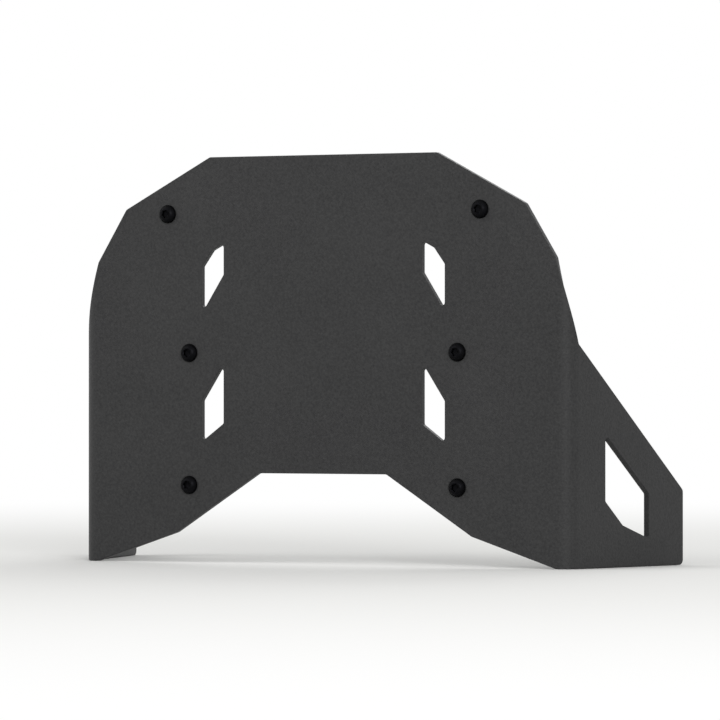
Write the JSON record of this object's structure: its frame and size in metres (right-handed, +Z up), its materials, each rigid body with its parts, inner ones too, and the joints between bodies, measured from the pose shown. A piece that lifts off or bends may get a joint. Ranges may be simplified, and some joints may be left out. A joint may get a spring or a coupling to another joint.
{
  "type": "center stand guard",
  "caption": "Folded sheet guard that covers the front of a motorbike's center stand, with shouldered top, arched bottom edge, side flanges, slanted windows and mounting screws.",
  "frame": {"origin": "middle of the footprint, at the height of the flanges' bottom edges", "axes": "+X across the plate, +Y from the front face towards the rear edges of the flanges, +Z up"},
  "size_m": [0.358, 0.1, 0.23],
  "materials": {
    "coated_sheet": "matte anthracite powder coat",
    "black_steel": "black oxide"
  },
  "bodies": {
    "root": {"guard_plate": "coated_sheet", "mounting_screws": "black_steel"}
  },
  "joints": []
}
